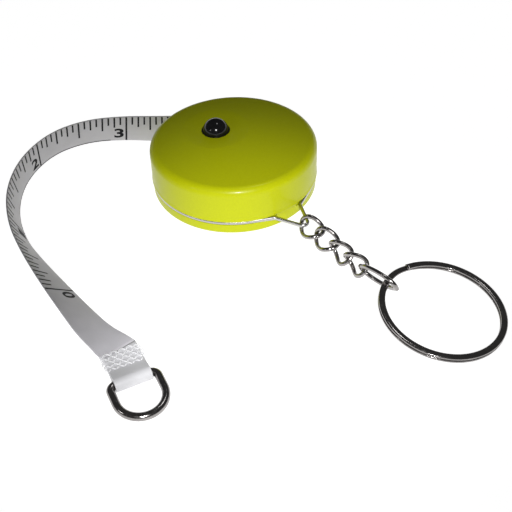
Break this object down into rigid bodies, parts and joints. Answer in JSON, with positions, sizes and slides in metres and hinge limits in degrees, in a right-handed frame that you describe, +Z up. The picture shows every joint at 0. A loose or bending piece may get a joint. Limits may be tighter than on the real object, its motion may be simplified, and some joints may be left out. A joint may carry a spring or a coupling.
{
  "type": "keychain tape measure",
  "caption": "Round push-button tape measure on a key chain: drum-shaped case, printed ribbon tape ending in a D-ring, curb chain and split ring.",
  "frame": {"origin": "on the case axis, at the underside of the case", "axes": "+Z up out of the face with the button; +X to the right seen from the side where the tape's end and the key ring lie; the tape leaves the case towards -X"},
  "size_m": [0.1135, 0.0978, 0.0159],
  "materials": {
    "lime_shell": "glossy lime",
    "lime_guide": "glossy lime",
    "bright_band": "bright",
    "black_button": "glossy black",
    "tape_vinyl": "white coated glass-fibre ribbon with a printed scale",
    "white_thread": "white thread",
    "dark_nickel": "polished dark nickel",
    "steel": "plain",
    "spring_steel": "blued",
    "white_plastic": "moulded",
    "washer_plastic": "moulded",
    "brake_rubber": "matte"
  },
  "bodies": {
    "case": {"upper_cover": "lime_shell", "lower_cover": "lime_shell", "seam_band": "bright_band", "mouth_guide": "lime_guide", "lower_frame": "white_plastic", "arbor": "steel", "arbor_screw": "steel", "thrust_washer": "washer_plastic", "mainspring": "spring_steel", "retaining_clip": "steel", "brake_carrier": "steel", "carrier_rivets": "steel", "lever_pin": "steel", "brake_spring": "spring_steel"},
    "drum": {"drum": "white_plastic", "spring_cover": "white_plastic", "tape_pack": "tape_vinyl", "tape_anchor": "white_plastic"},
    "tape": {"tape_lead": "tape_vinyl", "tape_ribbon": "tape_vinyl", "tape_end_loop": "tape_vinyl", "stitching": "white_thread"},
    "button": {"push_button": "black_button"},
    "lever": {"brake_lever": "steel", "brake_pad": "brake_rubber"},
    "d_ring": {"d_ring": "dark_nickel"},
    "link_1": {"chain_link_1": "dark_nickel"},
    "link_2": {"chain_link_2": "dark_nickel"},
    "link_3": {"chain_link_3": "dark_nickel"},
    "link_4": {"chain_link_4": "dark_nickel"},
    "connector": {"connector_link": "dark_nickel"},
    "ring": {"split_ring": "dark_nickel"}
  },
  "joints": [
    {"name": "button_press", "type": "slide", "parent": "case", "child": "button", "axis": [0, 0, -1], "range_m": [0, 0.0008], "stiffness_N_per_m": 600, "springref_m": -0.0004},
    {"name": "brake_swing", "type": "hinge", "parent": "case", "child": "lever", "pos_m": [-0.00775, 0.00916, 0.01135], "axis": [0.7634, 0.6459, 0], "range_deg": [0, 9.5], "deforming": ["brake_spring"]},
    {"name": "drum_spin", "type": "hinge", "parent": "case", "child": "drum", "pos_m": [0, 0, 0], "axis": [0, 0, 1], "range_deg": [0, 36.4], "deforming": ["mainspring"]},
    {"name": "tape_pull", "type": "slide", "parent": "case", "child": "tape", "axis": [-0.9976, -0.0698, 0], "range_m": [0, 0.011]},
    {"name": "d_ring_swing", "type": "hinge", "parent": "tape", "child": "d_ring", "pos_m": [-0.0212, -0.0665, 0.00164], "axis": [-0.9092, -0.4163, 0], "range_deg": [-30, 120]},
    {"name": "bail_swing", "type": "hinge", "parent": "case", "child": "link_1", "pos_m": [0.01609, -0.02096, 0.00365], "axis": [0, 0, 1], "range_deg": [-50, 50]},
    {"name": "link_2_swing", "type": "hinge", "parent": "link_1", "child": "link_2", "pos_m": [0.01998, -0.02604, 0.00337], "axis": [0.7909, 0.6097, -0.0523], "range_deg": [-40, 40]},
    {"name": "link_3_swing", "type": "hinge", "parent": "link_2", "child": "link_3", "pos_m": [0.02311, -0.0303, 0.0032], "axis": [0.8039, 0.5948, 0], "range_deg": [-40, 40]},
    {"name": "link_4_swing", "type": "hinge", "parent": "link_3", "child": "link_4", "pos_m": [0.02612, -0.03465, 0.00323], "axis": [0.6455, 0.452, 0.6157], "range_deg": [-40, 40]},
    {"name": "connector_swing", "type": "hinge", "parent": "link_4", "child": "connector", "pos_m": [0.02924, -0.03891, 0.00357], "axis": [0.5606, 0.4522, 0.6937], "range_deg": [-40, 40]},
    {"name": "split_ring_swing", "type": "hinge", "parent": "connector", "child": "ring", "pos_m": [0.03315, -0.04448, 0.00478], "axis": [-0.4952, -0.8684, 0.0251], "range_deg": [-34, 14]}
  ],
  "couplings": [
    {"joint": "tape_pull", "follows": "drum_spin", "m_per_rad": 0.0173},
    {"joint": "brake_swing", "follows": "button_press", "rad_per_m": 206}
  ]
}
